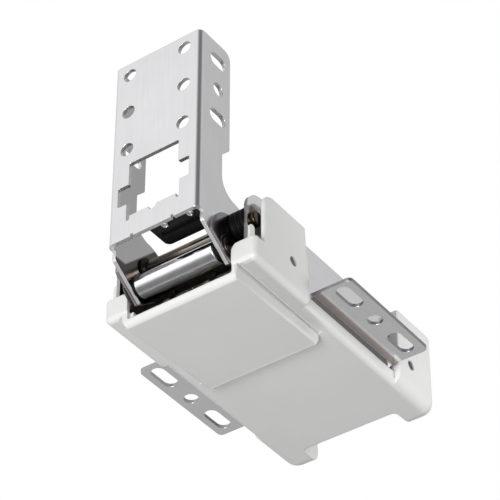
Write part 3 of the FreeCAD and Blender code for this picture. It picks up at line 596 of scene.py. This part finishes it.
def studio_world(studio):
    """White behind the pieces, dimmer behind the body's far end, with dark and bright cards."""
    world = bpy.data.worlds.new("studio")
    world.use_nodes = True
    tree = world.node_tree
    background = tree.nodes["Background"]
    paths = add(tree, "LightPath")
    direction = add(tree, "TexCoord").outputs["Generated"]
    axes = add(tree, "SeparateXYZ")
    tree.links.new(direction, axes.inputs["Vector"])
    room = fade(tree, axes.outputs["X"], -0.75, 0.75, studio.far_light)
    down = combine(tree, "MULTIPLY", axes.outputs["Z"], -1.0)
    low_side = fade(tree, down, -0.2, 0.6, studio.low_light)
    cards = 1.0
    for card in CARDS:
        cards = combine(tree, "MULTIPLY", facing(tree, direction, *card), cards)
    mirrored = combine(tree, "MULTIPLY", combine(tree, "MULTIPLY", room, low_side), cards)
    even = combine(tree, "MULTIPLY", room, studio.room_light)
    glossy = combine(tree, "MULTIPLY", mirrored, paths.outputs["Is Glossy Ray"])
    dull = combine(tree, "MULTIPLY", even, combine(tree, "SUBTRACT", 1.0, paths.outputs["Is Glossy Ray"]))
    level = combine(tree, "ADD", glossy, dull)
    seen = combine(tree, "MAXIMUM", paths.outputs["Is Camera Ray"], paths.outputs["Is Transmission Ray"])
    background.inputs["Color"].default_value = (1, 1, 1, 1)
    tree.links.new(combine(tree, "MAXIMUM", seen, level), background.inputs["Strength"])
    return world


def area_lamp(name, place, target, size, power):
    """Square lamp that shines from a place to a target."""
    light = bpy.data.lights.new(name, "AREA")
    light.energy = power
    light.size = size
    lamp = bpy.data.objects.new(name, light)
    bpy.context.scene.collection.objects.link(lamp)
    lamp.location = place
    lamp.rotation_mode = "QUATERNION"
    lamp.rotation_quaternion = (Vector(target) - Vector(place)).to_track_quat("-Z", "Y")
    return lamp


def pale_floor(drop):
    """Wide pale floor below the camera, clear to reflections so that steel mirrors the room."""
    side = 6.0
    mesh = bpy.data.meshes.new("floor")
    corner = [(x, y, -drop) for x, y in ((-side, -side), (side, -side), (side, side), (-side, side))]
    mesh.from_pydata(corner, [], [(0, 1, 2, 3)])
    floor = bpy.data.objects.new("floor", mesh)
    bpy.context.scene.collection.objects.link(floor)
    material, tree, shader = new_finish("floor_paint", 0.7)
    tone = stretched_noise(tree, (3, 3, 3))
    tree.links.new(shade(tree, spread(tree, tone, 0, 1), (0.84, 0.84, 0.84), (0.87, 0.87, 0.87)),
                   shader.inputs["Base Color"])
    paths = add(tree, "LightPath")
    shader.inputs["Emission Color"].default_value = (1, 1, 1, 1)
    seen = combine(tree, "MULTIPLY", paths.outputs["Is Camera Ray"], 0.52)
    tree.links.new(seen, shader.inputs["Emission Strength"])
    clear = add(tree, "BsdfTransparent")
    blend = add(tree, "MixShader")
    tree.links.new(paths.outputs["Is Glossy Ray"], blend.inputs["Fac"])
    tree.links.new(shader.outputs["BSDF"], blend.inputs[1])
    tree.links.new(clear.outputs["BSDF"], blend.inputs[2])
    tree.links.new(blend.outputs["Shader"], tree.nodes["Material Output"].inputs["Surface"])
    mesh.materials.append(material)
    floor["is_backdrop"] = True


class HINGE_OT_studio(bpy.types.Operator):
    """Set up the white studio, its lamps, the floor and the camera"""
    bl_idname = "hinge.studio"
    bl_label = "Studio"

    def execute(self, context):
        studio = context.scene.hinge_studio
        context.scene.world = studio_world(studio)
        low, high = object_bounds()
        centre = (low + high) / 2
        key = area_lamp("key", centre + Vector((-1.36, -0.15, -0.84)), centre, 0.9, studio.key_power)
        key.visible_camera = False
        rear = Vector((high.x, low.y, centre.z))
        fill = area_lamp("fill", rear + Vector((0.12, -0.35, -0.05)), rear + Vector((-0.03, 0, -0.03)),
                         0.15, studio.fill_power)
        fill.visible_glossy = False
        fill.visible_camera = False
        pale_floor(studio.floor_drop)
        lens = bpy.data.cameras.new("camera")
        lens.lens = CAMERA_LENS
        lens.sensor_width = 36
        lens.clip_start, lens.clip_end = 0.05, 20
        camera = bpy.data.objects.new("camera", lens)
        context.scene.collection.objects.link(camera)
        camera.location = CAMERA_EYE
        camera.rotation_mode = "QUATERNION"
        camera.rotation_quaternion = (-Vector(CAMERA_BACK)).to_track_quat("-Z", "Y")
        context.scene.camera = camera
        context.scene.view_settings.view_transform = "Standard"
        return {"FINISHED"}


OPERATORS = (HINGE_OT_lid_bracket, HINGE_OT_pins_and_roller, HINGE_OT_black_mouldings,
             HINGE_OT_body_frame, HINGE_OT_springs, HINGE_OT_cover, HINGE_OT_studio)


class HINGE_PT_pieces(bpy.types.Panel):
    """Sizes, colours and pieces of the hinge"""
    bl_idname = "HINGE_PT_pieces"
    bl_label = "Lift-assist hinge"
    bl_space_type = "VIEW_3D"
    bl_region_type = "UI"
    bl_category = "Hinge"

    def draw(self, context):
        for name in ("hinge_sizes", "hinge_colours", "hinge_studio"):
            group = getattr(context.scene, name)
            box = self.layout.box()
            for key in group.__annotations__:
                box.prop(group, key)
        for operator in OPERATORS:
            self.layout.operator(operator.bl_idname)


CLASSES = (HingeSizes, HingeColours, HingeStudio) + OPERATORS + (HINGE_PT_pieces,)


def register():
    for cls in CLASSES:
        bpy.utils.register_class(cls)
    bpy.types.Scene.hinge_sizes = PointerProperty(type=HingeSizes)
    bpy.types.Scene.hinge_colours = PointerProperty(type=HingeColours)
    bpy.types.Scene.hinge_studio = PointerProperty(type=HingeStudio)


def unregister():
    del bpy.types.Scene.hinge_studio
    del bpy.types.Scene.hinge_colours
    del bpy.types.Scene.hinge_sizes
    for cls in reversed(CLASSES):
        bpy.utils.unregister_class(cls)


def main():
    register()
    bpy.ops.hinge.lid_bracket()
    bpy.ops.hinge.pins_and_roller()
    bpy.ops.hinge.black_mouldings()
    bpy.ops.hinge.body_frame()
    bpy.ops.hinge.springs()
    bpy.ops.hinge.cover()
    bpy.ops.hinge.studio()


if __name__ == "__main__":
    main()
